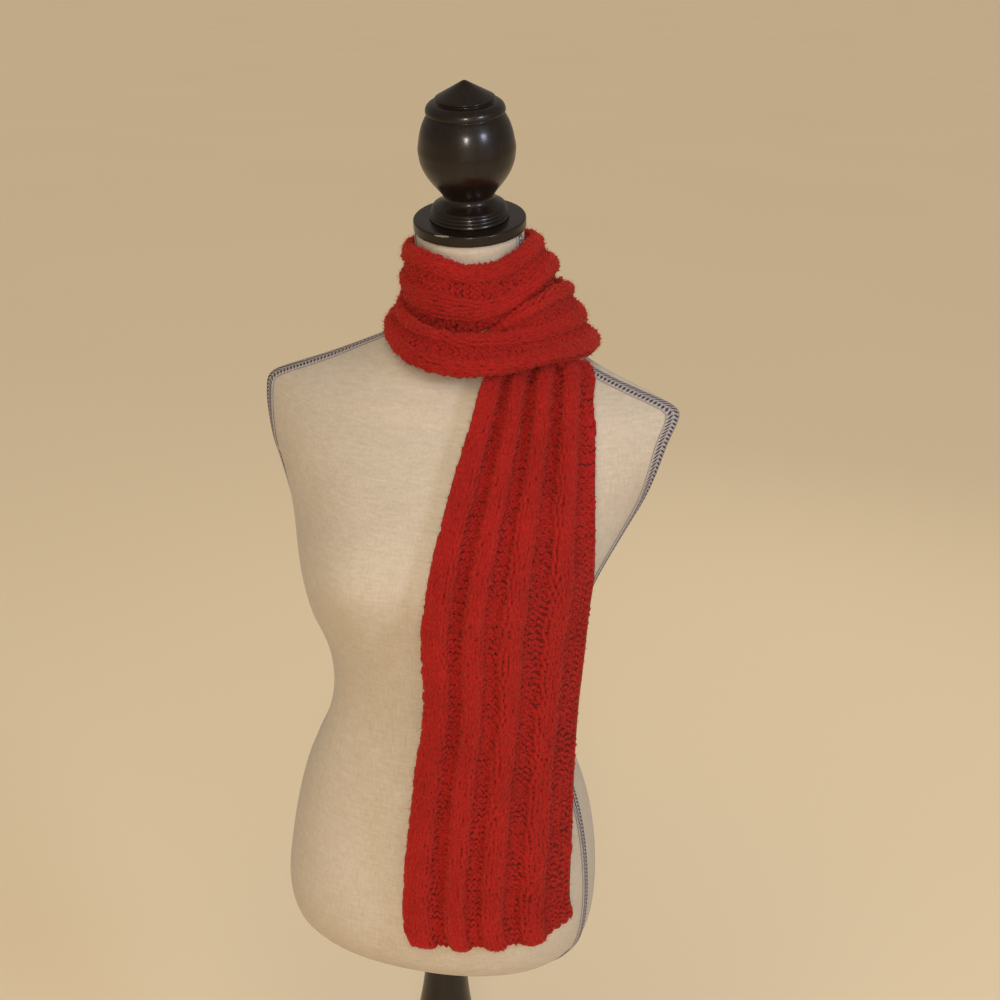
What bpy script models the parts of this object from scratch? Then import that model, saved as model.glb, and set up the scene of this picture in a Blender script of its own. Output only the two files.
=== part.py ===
"""Knit scarf wound twice round the neck of a limbless dress form on a turned stand.

Frame: metres, +Z up, the form faces -Y, origin at the centre of the base's underside.
The scarf is one strip in wide rib. Its stretches are separate solids that follow one another:
front tail, inner wrap, nape pass, outer wrap and back tail.
"""
import math
from collections import namedtuple

import bmesh
import bpy
import numpy as np
from mathutils import Matrix, Vector
from mathutils.bvhtree import BVHTree

MM = 0.001
GAP = 0.3 * MM                 # running gap between neighbouring pieces

# ---------------------------------------------------------------- stand and form, driving sizes
PLATE_HEIGHT = 1300 * MM       # where the neck's axis crosses the neck plate, above the floor
PLATE_BACK = 46.5 * MM         # the same place behind the post's axis
NECK_TILT = math.radians(12)   # the neck leans forward
TURN_STEPS = 28                # facets round a turned piece
TORSO_SEGMENTS = 40            # round the body

# Turned profiles, top to bottom: radius and height in mm.
Turn = namedtuple("Turn", "radius height")
FINIAL_PROFILE = [
    Turn(0.0, 126.0), Turn(2.5, 125.0), Turn(14.0, 118.2), Turn(26.3, 111.0), Turn(25.8, 108.5),
    Turn(30.5, 107.0), Turn(34.0, 104.0), Turn(35.2, 100.5), Turn(34.9, 98.8), Turn(33.2, 98.0),
    Turn(35.4, 94.5), Turn(38.6, 88.2), Turn(41.2, 80.0), Turn(43.2, 69.0), Turn(43.4, 65.0),
    Turn(42.0, 55.0), Turn(38.5, 46.0), Turn(33.5, 38.0), Turn(28.0, 31.0), Turn(24.2, 26.0),
    Turn(23.5, 22.5), Turn(25.0, 19.5), Turn(29.0, 16.5), Turn(32.2, 14.6), Turn(33.2, 13.2),
    Turn(32.8, 12.4), Turn(33.8, 11.6), Turn(34.4, 10.0), Turn(33.9, 9.2), Turn(34.8, 8.4),
    Turn(35.2, 6.8), Turn(34.7, 6.0), Turn(35.5, 5.2), Turn(35.8, 3.0), Turn(0.0, 3.0),
]
PLATE_PROFILE = [
    Turn(0.0, 2.7), Turn(49.5, 2.7), Turn(50.7, 1.9), Turn(51.0, 0.5), Turn(51.0, -5.3),
    Turn(50.6, -6.7), Turn(49.5, -7.3), Turn(0.0, -7.3),
]
POST_PROFILE = [
    Turn(0.0, 580.7), Turn(20.0, 580.7), Turn(20.4, 550.0), Turn(21.6, 528.0), Turn(24.0, 505.0),
    Turn(27.0, 485.0), Turn(31.5, 460.0), Turn(34.0, 435.0), Turn(34.0, 405.0), Turn(31.0, 370.0),
    Turn(26.5, 330.0), Turn(22.5, 290.0), Turn(20.0, 250.0), Turn(19.0, 215.0), Turn(19.5, 190.0),
    Turn(23.0, 184.0), Turn(26.5, 178.0), Turn(26.5, 170.0), Turn(23.0, 164.0), Turn(21.5, 156.0),
    Turn(23.5, 120.0), Turn(28.5, 80.0), Turn(32.0, 62.0), Turn(38.0, 56.0), Turn(40.0, 48.0),
    Turn(40.0, 30.3), Turn(0.0, 30.3),
]
BASE_PROFILE = [
    Turn(0.0, 30.0), Turn(72.0, 30.0), Turn(78.0, 28.5), Turn(92.0, 24.0), Turn(115.0, 20.5),
    Turn(138.0, 19.0), Turn(147.0, 17.0), Turn(153.0, 13.0), Turn(155.0, 8.0), Turn(154.0, 3.0),
    Turn(150.0, 0.0), Turn(0.0, 0.0),
]

# Rings of the body in mm, neck to hem. Depths run forward and back from centre_y; power 2 is an
# ellipse and more is boxier; edge 2 is round at the side seams and less comes to a sharp line;
# tilt leans the ring's plane forward.
Ring = namedtuple("Ring", "height centre_y half_width front back power edge tilt")
TORSO_RINGS = [
    Ring(1292.5, 48.0, 49.0, 49.0, 49.0, 2.0, 2.0, 12),
    Ring(1266.0, 53.5, 49.0, 49.0, 49.0, 2.0, 2.0, 12),
    Ring(1240.0, 58.5, 49.5, 50.0, 50.0, 2.0, 2.0, 12),
    Ring(1218.0, 61.0, 52.5, 53.0, 54.0, 2.0, 2.0, 11),
    Ring(1203.0, 61.0, 60.0, 57.0, 60.0, 2.0, 2.0, 8),
    Ring(1190.0, 58.0, 78.0, 59.0, 66.0, 2.1, 1.9, 5),
    Ring(1177.0, 55.0, 108.0, 64.0, 72.0, 2.1, 1.6, 2),
    Ring(1164.0, 53.0, 140.0, 71.0, 78.0, 2.1, 1.35, 0),
    Ring(1153.0, 53.0, 169.0, 80.0, 81.0, 2.1, 1.2, 0),
    Ring(1144.0, 53.0, 190.0, 88.0, 81.0, 2.1, 1.1, 0),
    Ring(1137.0, 51.0, 198.0, 91.0, 82.0, 2.1, 1.1, 0),
    Ring(1129.0, 45.0, 198.5, 90.0, 88.0, 2.1, 1.1, 0),
    Ring(1112.0, 31.0, 192.5, 91.0, 99.0, 2.15, 1.1, 0),
    Ring(1085.0, 25.0, 185.0, 107.0, 101.0, 2.2, 1.15, 0),
    Ring(1060.0, 26.0, 176.0, 126.0, 95.0, 2.2, 1.25, 0),
    Ring(1030.0, 15.0, 160.5, 131.0, 100.0, 2.2, 1.45, 0),
    Ring(1000.0, -9.0, 145.0, 115.0, 113.0, 2.2, 1.7, 0),
    Ring(975.0, -21.0, 135.5, 101.0, 115.0, 2.2, 1.9, 0),
    Ring(945.0, -24.0, 127.0, 91.0, 108.0, 2.15, 2.0, 0),
    Ring(915.0, -24.0, 112.5, 84.0, 99.0, 2.1, 2.1, 0),
    Ring(885.0, -24.0, 106.0, 79.0, 93.0, 2.1, 2.1, 0),
    Ring(855.0, -23.0, 107.0, 78.0, 90.0, 2.1, 2.1, 0),
    Ring(825.0, -21.0, 115.0, 83.0, 91.0, 2.1, 2.1, 0),
    Ring(785.0, -18.0, 132.5, 94.0, 99.0, 2.1, 2.1, 0),
    Ring(745.0, -16.0, 143.5, 104.0, 112.0, 2.15, 2.15, 0),
    Ring(700.0, -16.0, 150.5, 115.0, 119.0, 2.2, 2.2, 0),
    Ring(660.0, -21.0, 153.0, 115.0, 122.0, 2.2, 2.2, 0),
    Ring(628.0, -21.0, 149.5, 108.0, 117.0, 2.2, 2.2, 0),
    Ring(609.0, -20.0, 140.0, 96.0, 108.0, 2.2, 2.2, 0),
    Ring(595.0, -18.0, 126.0, 80.0, 93.0, 2.2, 2.2, 0),
    Ring(585.0, -15.0, 104.0, 60.0, 73.0, 2.2, 2.2, 0),
    Ring(581.0, -12.0, 80.0, 42.0, 54.0, 2.2, 2.2, 0),
]
BUST_RISE = 13 * MM            # each mound stands this far off the rings
BUST_SIDE = 68 * MM            # mound centre from the middle
BUST_HEIGHT = 1003 * MM
BUST_SPREAD_X = 46 * MM
BUST_SPREAD_Z = 46 * MM
BUST_FADE = 40 * MM            # the mounds fade out within this depth of the side seams

# ---------------------------------------------------------------- scarf, driving sizes
WALL = 4 * MM                  # the knit's own wall; its ribs come on top
RIB_RISE = 2.6 * MM            # ridge tops and valley floors from the middle of the wall
INNER_PULL = -1.2              # round the neck the ribs are pulled flatter, by this many mm
OUTER_PULL = -0.6
END_TRIM = 0.6 * MM            # each stretch stops this far short of the seam
SAG = 0.8 * MM                 # spare air where flat facets span a rounded body
SEAT = 4.0 * MM                # least stand-off of the wall's middle from the body
# The rib across the strip as (stitch, height): +1 on the knit ridges, -1 in the purl valleys.
RIB = [
    (0.0, 1), (3.5, 1), (4.5, -1), (6.5, -1), (7.5, 1), (9.5, 1), (10.5, -1), (12.5, -1),
    (13.5, 1), (15.5, 1), (16.5, -1), (18.5, -1), (19.5, 1), (21.5, 1), (22.5, -1), (26.0, -1),
]
STITCHES = 26
ROWS_PER_STEP = 2              # mesh rows between two rows of a table
ACROSS_STEPS = 6               # fine steps between two points of a section
EDGE_STITCH = 0.4              # a turn of the rib nearer than this to an edge is left out
FRONT_POINTS = 7               # points across a section of the front tail
DRAPE_LEVELS = np.arange(1185, 640, -15) * MM   # heights where the front tail feels the body

# Front tail in mm, hem to top: where its edges are at each height, how deep it is gathered and
# how much higher its right edge is than its left one.
Hang = namedtuple("Hang", "height left right gather rise")
FRONT_TAIL = [
    Hang(661, 8, 143, 0.6, 0), Hang(675, 2, 142, 0.8, 0), Hang(700, -0.5, 141, 0.8, 0),
    Hang(750, 1.5, 142, 0.8, 0), Hang(795, 5.5, 141, 0.8, 0), Hang(840, 9.5, 140.5, 0.8, 0),
    Hang(885, 15.5, 141, 0.8, 0), Hang(930, 16.0, 143, 0.8, 0), Hang(970, 14.0, 144.5, 0.8, 0),
    Hang(1005, 17.0, 144.5, 0.8, 0), Hang(1045, 20.5, 142.5, 0.8, 0), Hang(1080, 24, 141, 1.2, 0),
    Hang(1110, 27.5, 138, 1.6, 0), Hang(1135, 31, 133.5, 2.2, 0), Hang(1154, 33, 127, 2.2, 2),
    Hang(1167, 34.5, 121, 1.0, 5), Hang(1175, 36.5, 115, 0.0, 6), Hang(1180, 41, 106, -0.4, 6),
]

# Turns round the neck. A row is one section across the strip, top edge first: six points, each
# its radius from the neck's axis and its drop below the plate (mm). Angle 0 is the front and 90
# the form's left shoulder. The stitches tell which wale of the strip each point is on.
Turn6 = namedtuple("Turn6", "angle r0 d0 r1 d1 r2 d2 r3 d3 r4 d4 r5 d5")
INNER_STITCHES = (0, 2, 5.5, 8.5, 12.5, 14.5)
INNER_WRAP = [
    Turn6(-165, 55.5, 33, 56, 38, 56.5, 46, 57, 54, 57, 62, 55.5, 65),
    Turn6(-135, 55.5, 30, 56, 35, 57, 44, 57.5, 53, 57.5, 62, 55.5, 65),
    Turn6(-105, 55.5, 26, 56.5, 32, 58, 42, 59, 52, 59, 61, 56, 65),
    Turn6(-75, 55.5, 22, 57.5, 28, 60, 40, 61, 53, 60.5, 63, 56.5, 64),
    Turn6(-45, 55.5, 17, 57.5, 18, 60.5, 38, 63, 56, 65, 74, 57, 68),
    Turn6(-15, 55.5, 20, 57.5, 20, 62, 38, 66, 56, 66.5, 85, 59, 76),
    Turn6(15, 55.5, 26, 57.5, 27, 63, 43, 68, 59, 69.5, 80, 60, 72),
    Turn6(45, 55.5, 25, 58, 25, 65, 40, 71.5, 55, 74, 62, 64, 64),
    Turn6(75, 55.5, 19, 59.5, 17, 66, 30, 75, 40, 77.5, 49, 68, 56),
    Turn6(105, 55.5, 19, 60, 22, 66, 33, 74.5, 43, 74, 56, 66, 60),
    Turn6(135, 56, 26, 60, 30, 65, 40, 71, 51, 71, 61, 65, 65),
]
OUTER_STITCHES = (7, 8.5, 14.5, 17.5, 20.5, 24)
OUTER_WRAP = [
    Turn6(-125, 61, 67, 62.5, 71, 65, 79, 69, 86, 73, 94, 71, 102),
    Turn6(-100, 58, 85, 60, 82, 64, 78, 68, 87, 73, 97, 71, 103),
    Turn6(-75, 58, 86, 60, 83, 64, 76, 70, 84, 76, 95, 74.5, 101),
    Turn6(-50, 62, 90, 64, 87, 70, 77, 76, 84, 83.5, 95, 82, 102),
    Turn6(-25, 64, 97, 67, 94, 77, 78, 84.5, 85, 92, 98, 89, 108),
    Turn6(0, 68, 99, 71, 95, 81, 80, 91, 88, 100, 100, 93, 112),
    Turn6(25, 62, 87, 73, 84, 86, 79, 97, 88, 108, 97, 109, 104),
    Turn6(50, 79, 64, 85, 59, 91, 81, 102, 87, 114, 93, 116, 100),
    Turn6(75, 82, 58, 88, 54, 98, 83, 106, 91, 117, 101, 120, 110),
    Turn6(100, 81, 70, 88, 67, 99, 90, 105, 104, 111, 117, 108, 127),
]
# Behind the neck the strip sinks from the inner turn to the outer one.
NAPE_PASS = [
    Turn6(160, 60, 33, 63, 38, 68, 46, 72, 56, 73, 66, 68, 71),
    Turn6(185, 66.5, 40, 67, 45, 70, 54, 73.5, 64, 75, 75, 71, 81),
    Turn6(210, 68, 48, 69, 54, 70.5, 62, 72, 72, 75, 84, 72, 92),
]
# Back tail: its two edges (mm) from the left shoulder, over the back, down to the hem; first is
# the stitch at the first edge and belly how far the middle stands back from the edges.
Edges = namedtuple("Edges", "first x0 y0 z0 x1 y1 z1 belly")
BACK_TAIL = [
    Edges(6, 64, 106, 1238, 84, 131, 1180, 2),
    Edges(4, 34, 137, 1230, 88, 147, 1146, 4),
    Edges(1, 0, 147, 1196, 84, 148, 1100, 3),
    Edges(0, -35, 147, 1145, 79, 147, 1052, 3),
    Edges(0, -58, 146, 1088, 77, 146, 1006, 3),
    Edges(0, -72, 144, 1020, 76, 144, 962, 3),
    Edges(0, -80, 142, 950, 76, 142, 918, 3),
    Edges(0, -84, 140, 880, 77, 140, 866, 3),
    Edges(0, -86, 138, 810, 77, 138, 806, 3),
    Edges(0, -87, 136, 745, 78, 136, 746, 3),
    Edges(0, -85, 135, 712, 76, 135, 714, 3),
]

TAPE_THICK = 0.9 * MM
TAPE_SEAT = 0.5 * MM           # air under the tape, where the body's facets meet at the seam
PLATE_CLEAR = 0.6 * MM         # the tape starts this far below the neck's top edge
# Seam tape in mm, at some heights: how far its middle lies in front of each ring's middle at the
# form's left side and at its right, where the seam runs further back below the arm, and how much
# of the body's depth it covers.
Seam = namedtuple("Seam", "height left right breadth")
SEAM = [
    Seam(1300, 11, 11, 9.5), Seam(1203, 8, 8, 9.5), Seam(1177, 12, 12, 11), Seam(1164, 13, 13, 13),
    Seam(1153, 12, 12, 14), Seam(1144, 9, 9, 14), Seam(1137, 6, 6, 12), Seam(1112, 6, 6, 11),
    Seam(1085, 7, 7, 11), Seam(1060, 9, 8.5, 10.5), Seam(1030, 11, 8, 10), Seam(1000, 12.5, 5, 9.5),
    Seam(975, 14, 2, 9.5), Seam(945, 14, 0, 9.5), Seam(885, 15, -2, 9.5), Seam(785, 20, -8, 9.5),
    Seam(700, 26, 2, 9.5), Seam(560, 30, 6, 9.5),
]

COLLECTION_NAME = "knit_scarf_on_dress_form"
MATERIALS = {
    # name: (colour, roughness, metallic)
    "wool": ((0.43, 0.018, 0.014, 1.0), 0.9, 0.0),
    "linen": ((0.62, 0.54, 0.42, 1.0), 0.85, 0.0),
    "seam_tape": ((0.42, 0.41, 0.45, 1.0), 0.8, 0.0),
    "dark_turned_wood": ((0.012, 0.008, 0.006, 1.0), 0.25, 0.0),
}


# ---------------------------------------------------------------- helpers
def clear_scene():
    for item in list(bpy.data.objects):
        bpy.data.objects.remove(item, do_unlink=True)


def make_material(name):
    colour, roughness, metallic = MATERIALS[name]
    material = bpy.data.materials.new(name)
    material.use_nodes = True
    shader = material.node_tree.nodes["Principled BSDF"]
    shader.inputs["Base Color"].default_value = colour
    shader.inputs["Roughness"].default_value = roughness
    shader.inputs["Metallic"].default_value = metallic
    return material


def add_object(name, mesh, material, parent=None):
    item = bpy.data.objects.new(name, mesh)
    item.data.materials.append(material)
    item.parent = parent
    collection.objects.link(item)
    return item


def smooth_curve(points, samples):
    """Catmull-Rom curve through rows of numbers, with `samples` steps in each span."""
    points = np.asarray(points, float)
    padded = np.vstack([2 * points[0] - points[1], points, 2 * points[-1] - points[-2]])
    rows = []
    for i in range(1, len(padded) - 2):
        before, start, end, after = padded[i - 1:i + 3]
        for t in np.arange(samples) / samples:
            rows.append(0.5 * (2 * start + (end - before) * t
                               + (2 * before - 5 * start + 4 * end - after) * t ** 2
                               + (3 * start - before - 3 * end + after) * t ** 3))
    rows.append(points[-1])
    return np.array(rows)


def signed_power(value, power):
    return math.copysign(abs(value) ** power, value)


# ---------------------------------------------------------------- the dress form
def torso_point(ring, angle):
    """A point of the body on one ring row (mm); angle 0 is +X and 90 degrees the back."""
    height, centre_y, half_width, front, back, power, edge, tilt = ring
    side = signed_power(math.cos(angle), 2 / power) * half_width * MM
    depth = back if math.sin(angle) > 0 else front
    reach = signed_power(math.sin(angle), 2 / edge) * depth * MM
    if reach < 0:
        spread = ((abs(side) - BUST_SIDE) / BUST_SPREAD_X) ** 2
        spread += ((height * MM - BUST_HEIGHT) / BUST_SPREAD_Z) ** 2
        reach -= BUST_RISE * math.exp(-spread) * min(1.0, -reach / BUST_FADE)
    lean = math.radians(tilt)
    return Vector((side, centre_y * MM + reach * math.cos(lean),
                   height * MM + reach * math.sin(lean)))


def make_torso(material):
    """The padded body: rings from the neck to the hem, closed flat at both ends."""
    mesh = bpy.data.meshes.new("form_torso")
    builder = bmesh.new()
    loops = []
    for ring in TORSO_RINGS:
        angles = [2 * math.pi * i / TORSO_SEGMENTS for i in range(TORSO_SEGMENTS)]
        loops.append([builder.verts.new(torso_point(ring, angle)) for angle in angles])
    for upper, lower in zip(loops, loops[1:]):
        for i in range(TORSO_SEGMENTS):
            j = (i + 1) % TORSO_SEGMENTS
            builder.faces.new((upper[i], lower[i], lower[j], upper[j]))
    builder.faces.new(loops[0])
    builder.faces.new(reversed(loops[-1]))
    builder.to_mesh(mesh)
    builder.free()
    mesh.shade_smooth()
    return add_object("form_torso", mesh, material)


def make_turned(name, profile, material, parent=None):
    """A turned piece: its half profile, top to bottom, swept round Z by a Screw modifier."""
    mesh = bpy.data.meshes.new(name)
    points = [(turn.radius * MM, 0.0, turn.height * MM) for turn in profile]
    mesh.from_pydata(points, [(i, i + 1) for i in range(len(points) - 1)], [])
    item = add_object(name, mesh, material, parent)
    screw = item.modifiers.new("turn", "SCREW")
    screw.steps = TURN_STEPS
    screw.render_steps = TURN_STEPS
    screw.use_merge_vertices = True
    screw.merge_threshold = 0.00001
    screw.use_smooth_shade = True
    return item


def seam_point(ring, side, part):
    """A point of the body by the side seam: part runs from -1 at the tape's back to 1 in front."""
    heights, lefts, rights, breadths = zip(*reversed(SEAM))
    forward = float(np.interp(ring.height, heights, lefts if side > 0 else rights))
    forward += part * float(np.interp(ring.height, heights, breadths)) / 2
    depth = ring.front if forward > 0 else ring.back
    angle = math.asin(min(1.0, abs(forward) / depth) ** (ring.edge / 2))
    angle = -math.copysign(angle, forward)
    return torso_point(ring, angle if side > 0 else math.pi - angle)


def make_tape(name, side, material):
    """Seam tape from the plate to the hem, laid on the body's own points and moved out."""
    rows = [[seam_point(ring, side, part) for part in (side, 0, -side)] for ring in TORSO_RINGS[:-2]]
    rows[0] = [point - Vector((0, 0, PLATE_CLEAR)) for point in rows[0]]
    grid = np.array(rows)[::-1]
    return make_shell(name, grid, grid_normals(grid), TAPE_SEAT, TAPE_SEAT + TAPE_THICK, material)


# ---------------------------------------------------------------- the scarf
def grid_normals(grid):
    """Unit normals of a grid of points, out of the face that shows."""
    along = np.gradient(grid, axis=0)
    across = np.gradient(grid, axis=1)
    normals = np.cross(across, along)
    return normals / np.linalg.norm(normals, axis=2, keepdims=True)


def make_shell(name, grid, normals, under, over, material):
    """A closed sheet between two offsets of a grid along its normals."""
    count, width = grid.shape[:2]
    points = np.concatenate([grid + normals * over, grid + normals * under]).reshape(-1, 3)
    below = count * width
    faces = []
    for i in range(count - 1):
        for j in range(width - 1):
            quad = (i * width + j, i * width + j + 1, (i + 1) * width + j + 1, (i + 1) * width + j)
            faces.append(quad)
            faces.append(tuple(corner + below for corner in reversed(quad)))
    rim = list(range(width))
    rim += [i * width + width - 1 for i in range(1, count)]
    rim += [below - 2 - j for j in range(width - 1)]
    rim += [i * width for i in range(count - 2, 0, -1)]
    for start, end in zip(rim, rim[1:] + rim[:1]):
        faces.append((end, start, start + below, end + below))
    mesh = bpy.data.meshes.new(name)
    mesh.from_pydata([tuple(point) for point in points], [], faces)
    mesh.shade_smooth()
    return add_object(name, mesh, material)


def strip_grid(sections, stitches, places, gathers):
    """Mid-surface of a strip: sections across (rows of points, each on a known stitch) smoothed
    both ways and cut at the given places, with the ribs raised along the normal."""
    sections = np.array(sections, float)
    count, points = sections.shape[:2]
    rows = smooth_curve(sections.reshape(count, -1), ROWS_PER_STEP).reshape(-1, points, 3)
    marks = smooth_curve(stitches, ROWS_PER_STEP)
    steps = np.arange(ACROSS_STEPS * (points - 1) + 1) / ACROSS_STEPS
    grid = []
    stations = []
    for row, mark in zip(rows, marks):
        fine = smooth_curve(row, ACROSS_STEPS)
        grid.append([np.interp(places, steps, fine[:, axis]) for axis in range(3)])
        stations.append(np.interp(places, np.arange(points), mark))
    grid = np.array(grid).transpose(0, 2, 1)
    keys, signs = zip(*RIB)
    relief = np.interp(np.array(stations), keys, signs)
    gathers = smooth_curve(np.array(gathers, float)[:, None], ROWS_PER_STEP)
    relief = relief * (RIB_RISE + gathers * MM)
    return grid + grid_normals(grid) * relief[:, :, None]


def rib_places(stitches):
    """Places across a section, counted in its points, of the rib's turns and of the two edges."""
    first, last = stitches[0], stitches[-1]
    cuts = [first] + [key for key, _ in RIB if first + EDGE_STITCH < key < last - EDGE_STITCH] + [last]
    return np.interp(cuts, stitches, np.arange(len(stitches)))


def lift(place, body, least):
    """The place, moved straight out of the body where it is nearer than the least distance."""
    spot, normal = body.find_nearest(place)[:2]
    if (place - spot).dot(normal) < least:
        return spot + normal * least
    return place


def settle(grid, body):
    """A mid-surface that keeps its seat's distance from the body."""
    points = [lift(Vector(point), body, SEAT) for point in grid.reshape(-1, 3)]
    return np.array(points).reshape(grid.shape)


def neck_point(angle, radius, drop):
    """A point round the neck, with the neck's own lean."""
    turn = math.radians(angle)
    lean = Matrix.Rotation(NECK_TILT, 3, "X")
    place = Vector((radius * math.sin(turn), -radius * math.cos(turn), -drop)) * MM
    return lean @ place + Vector((0.0, PLATE_BACK, PLATE_HEIGHT))


def turn_section(row):
    pairs = zip(row[1::2], row[2::2])
    return [neck_point(row.angle, radius, drop) for radius, drop in pairs]


def hull_depths(heights, depths):
    """Forward-most line that hangs over a profile: straight between the points it touches."""
    touched = []
    for point in sorted(zip(heights, depths), reverse=True):
        while len(touched) > 1:
            (h1, d1), (h2, d2) = touched[-2:]
            if (d2 - d1) * (point[0] - h1) - (point[1] - d1) * (h2 - h1) > 0:
                break
            touched.pop()
        touched.append(point)
    return touched


def make_drape(body):
    """Depth of the cloth that hangs in front of the body, as a function of x and height."""
    columns = {}

    def drape(x, height):
        key = round(x, 5)
        if key not in columns:
            hits = []
            for level in DRAPE_LEVELS:
                spot = body.ray_cast(Vector((x, -1.0, level)), Vector((0, 1, 0)))[0]
                if spot is not None:
                    hits.append((level, spot.y))
            hull = hull_depths(*zip(*hits))
            columns[key] = list(zip(*reversed(hull)))
        levels, depths = columns[key]
        return float(np.interp(height, levels, depths))

    return drape


def make_front_tail(body, material):
    drape = make_drape(body)
    sections = []
    for row in FRONT_TAIL:
        stand_off = RIB_RISE + row.gather * MM + SEAT
        section = []
        for part in np.linspace(0, 1, FRONT_POINTS):
            x = (row.left + (row.right - row.left) * part) * MM
            height = (row.height + row.rise * part) * MM
            place = Vector((x, drape(x, height) - stand_off, height))
            section.append(lift(place, body, stand_off + SAG))
        sections.append(section)
    spread = np.linspace(0, STITCHES, FRONT_POINTS)
    gathers = [row.gather for row in FRONT_TAIL]
    grid = strip_grid(sections, [spread] * len(sections), rib_places(spread), gathers)
    grid = settle(grid, body)
    make_shell("scarf_front_tail", grid, grid_normals(grid), -WALL / 2, WALL / 2, material)


def back_sections():
    """The back tail's sections and the stitches of their points."""
    spread = np.array(OUTER_STITCHES, float)
    spread = (spread - spread[0]) / (spread[-1] - spread[0])
    sections = []
    stitches = []
    for row in BACK_TAIL:
        first = Vector((row.x0, row.y0, row.z0)) * MM
        last = Vector((row.x1, row.y1, row.z1)) * MM
        section = []
        for part in spread:
            belly = Vector((0, row.belly * MM * math.sin(math.pi * part), 0))
            section.append(first.lerp(last, float(part)) + belly)
        sections.append(section)
        stitches.append(row.first + spread * (STITCHES - row.first))
    return sections, stitches


def make_stretch(name, sections, stitches, pulls, first, last, places, body, material):
    """Sections first to last of the strip as a piece of its own; the sections next to it keep its
    ends in line with its neighbours, and each end stands back by a running gap."""
    low = max(first - 1, 0)
    high = min(last + 1, len(sections) - 1)
    kept = slice(low, high + 1)
    grid = strip_grid(sections[kept], stitches[kept], places, pulls[kept])
    grid = settle(grid, body)
    normals = grid_normals(grid)
    start = (first - low) * ROWS_PER_STEP
    stop = (last - low) * ROWS_PER_STEP + 1
    grid = grid[start:stop]
    for end, inner in ((0, 1), (-1, -2)):
        pull = grid[inner] - grid[end]
        grid[end] += pull / np.linalg.norm(pull, axis=1, keepdims=True) * END_TRIM
    make_shell(name, grid, normals[start:stop], -WALL / 2, WALL / 2, material)


# ---------------------------------------------------------------- build
clear_scene()
collection = bpy.data.collections.new(COLLECTION_NAME)
bpy.context.scene.collection.children.link(collection)

wood = make_material("dark_turned_wood")
linen = make_material("linen")
tape = make_material("seam_tape")
wool = make_material("wool")

neck_top = bpy.data.objects.new("neck_top", None)
neck_top.location = (0.0, PLATE_BACK, PLATE_HEIGHT)
neck_top.rotation_euler = (NECK_TILT, 0.0, 0.0)
collection.objects.link(neck_top)

torso = make_torso(linen)
make_tape("form_tape_left", 1, tape)
make_tape("form_tape_right", -1, tape)
make_turned("form_neck_plate", PLATE_PROFILE, wood, neck_top)
make_turned("form_finial", FINIAL_PROFILE, wood, neck_top)
make_turned("form_post", POST_PROFILE, wood)
make_turned("form_base", BASE_PROFILE, wood)

bpy.context.view_layer.update()
body = BVHTree.FromObject(torso, bpy.context.evaluated_depsgraph_get())
make_front_tail(body, wool)

turns = INNER_WRAP + NAPE_PASS + OUTER_WRAP
strip = [turn_section(row) for row in turns]
nape_stitches = np.linspace(INNER_STITCHES, OUTER_STITCHES, len(NAPE_PASS) + 2)[1:-1]
marks = [INNER_STITCHES] * len(INNER_WRAP) + list(nape_stitches) + [OUTER_STITCHES] * len(OUTER_WRAP)
pulls = [INNER_PULL] * len(INNER_WRAP)
pulls += list(np.linspace(INNER_PULL, OUTER_PULL, len(NAPE_PASS) + 2)[1:-1])
pulls += [OUTER_PULL] * len(OUTER_WRAP) + [0.0] * len(BACK_TAIL)
tail_sections, tail_stitches = back_sections()
strip += tail_sections
marks += tail_stitches
inner_end = len(INNER_WRAP) - 1
outer_start = len(INNER_WRAP) + len(NAPE_PASS)
outer_end = len(turns) - 1
inner_places = rib_places(INNER_STITCHES)
outer_places = rib_places(OUTER_STITCHES)
nape_places = np.union1d(np.arange(0, 5.5, 0.5), np.union1d(inner_places, outer_places))
back_places = rib_places(tail_stitches[-1])
make_stretch("scarf_inner_wrap", strip, marks, pulls, 0, inner_end, inner_places, body, wool)
make_stretch("scarf_nape_pass", strip, marks, pulls, inner_end, outer_start, nape_places, body, wool)
make_stretch("scarf_outer_wrap", strip, marks, pulls, outer_start, outer_end, outer_places, body, wool)
make_stretch("scarf_back_tail", strip, marks, pulls, outer_end, len(strip) - 1, back_places, body,
             wool)
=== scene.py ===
"""A knit scarf wound round the neck of a linen dress form on a turned stand: its looks.

Tables are in millimetres; the scene is in metres, +Z up, with the form facing -Y and the origin
under the middle of the round base.
"""
import math
from collections import namedtuple

import bpy
import numpy as np
from mathutils import Matrix, Vector
from mathutils.bvhtree import BVHTree


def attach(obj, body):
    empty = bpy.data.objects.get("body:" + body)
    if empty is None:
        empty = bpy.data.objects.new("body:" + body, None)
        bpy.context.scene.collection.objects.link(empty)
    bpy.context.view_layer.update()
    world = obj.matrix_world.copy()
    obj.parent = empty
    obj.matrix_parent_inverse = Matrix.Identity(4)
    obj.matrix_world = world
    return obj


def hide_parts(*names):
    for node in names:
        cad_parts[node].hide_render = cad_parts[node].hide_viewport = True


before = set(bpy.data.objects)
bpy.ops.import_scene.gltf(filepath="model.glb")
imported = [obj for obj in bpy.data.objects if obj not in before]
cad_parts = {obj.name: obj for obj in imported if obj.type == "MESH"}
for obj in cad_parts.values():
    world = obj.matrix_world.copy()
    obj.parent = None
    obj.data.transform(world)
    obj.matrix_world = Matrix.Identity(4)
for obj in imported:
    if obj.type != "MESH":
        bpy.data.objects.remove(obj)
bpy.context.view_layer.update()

MM = 0.001

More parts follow.
